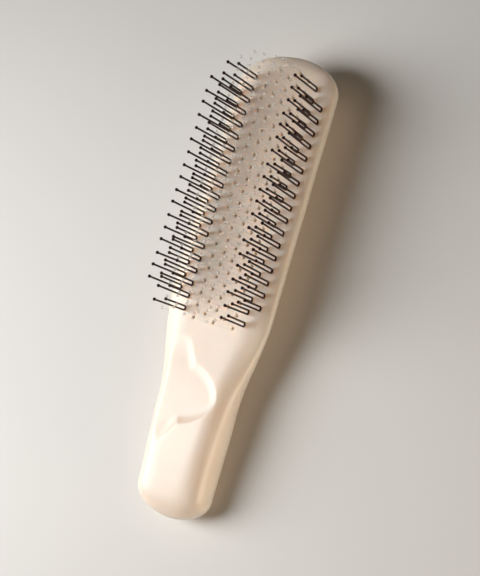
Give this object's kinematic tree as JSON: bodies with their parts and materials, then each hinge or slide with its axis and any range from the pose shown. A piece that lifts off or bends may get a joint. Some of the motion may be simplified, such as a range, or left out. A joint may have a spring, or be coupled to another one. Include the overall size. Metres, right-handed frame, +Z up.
{
  "type": "hair brush",
  "caption": "Hair brush with a moulded shell body, a thumb scoop in the handle and a field of U-shaped ball-tipped pins, dark along the sides and clear in the middle.",
  "frame": {"origin": "middle of the brush's outline, on the surface that its flat back lies on", "axes": "+X across the brush, to the right when the pins face the viewer with the head up; +Y along the brush from the handle's end towards the head's tip; +Z up out of the pin face"},
  "size_m": [0.0484, 0.197, 0.0452],
  "materials": {
    "body": "satin",
    "retainer": "satin",
    "dark_pins": "satin",
    "clear_pins": "translucent"
  },
  "bodies": {
    "root": {"front_shell": "body", "back_shell": "body", "pin_retainer": "retainer", "left_pins_4": "dark_pins", "left_pins_3": "dark_pins", "right_pins_3": "dark_pins", "right_pins_4": "dark_pins", "left_pins_2": "clear_pins", "left_pins_1": "clear_pins", "centre_pins": "clear_pins", "right_pins_1": "clear_pins", "right_pins_2": "clear_pins"}
  },
  "joints": []
}
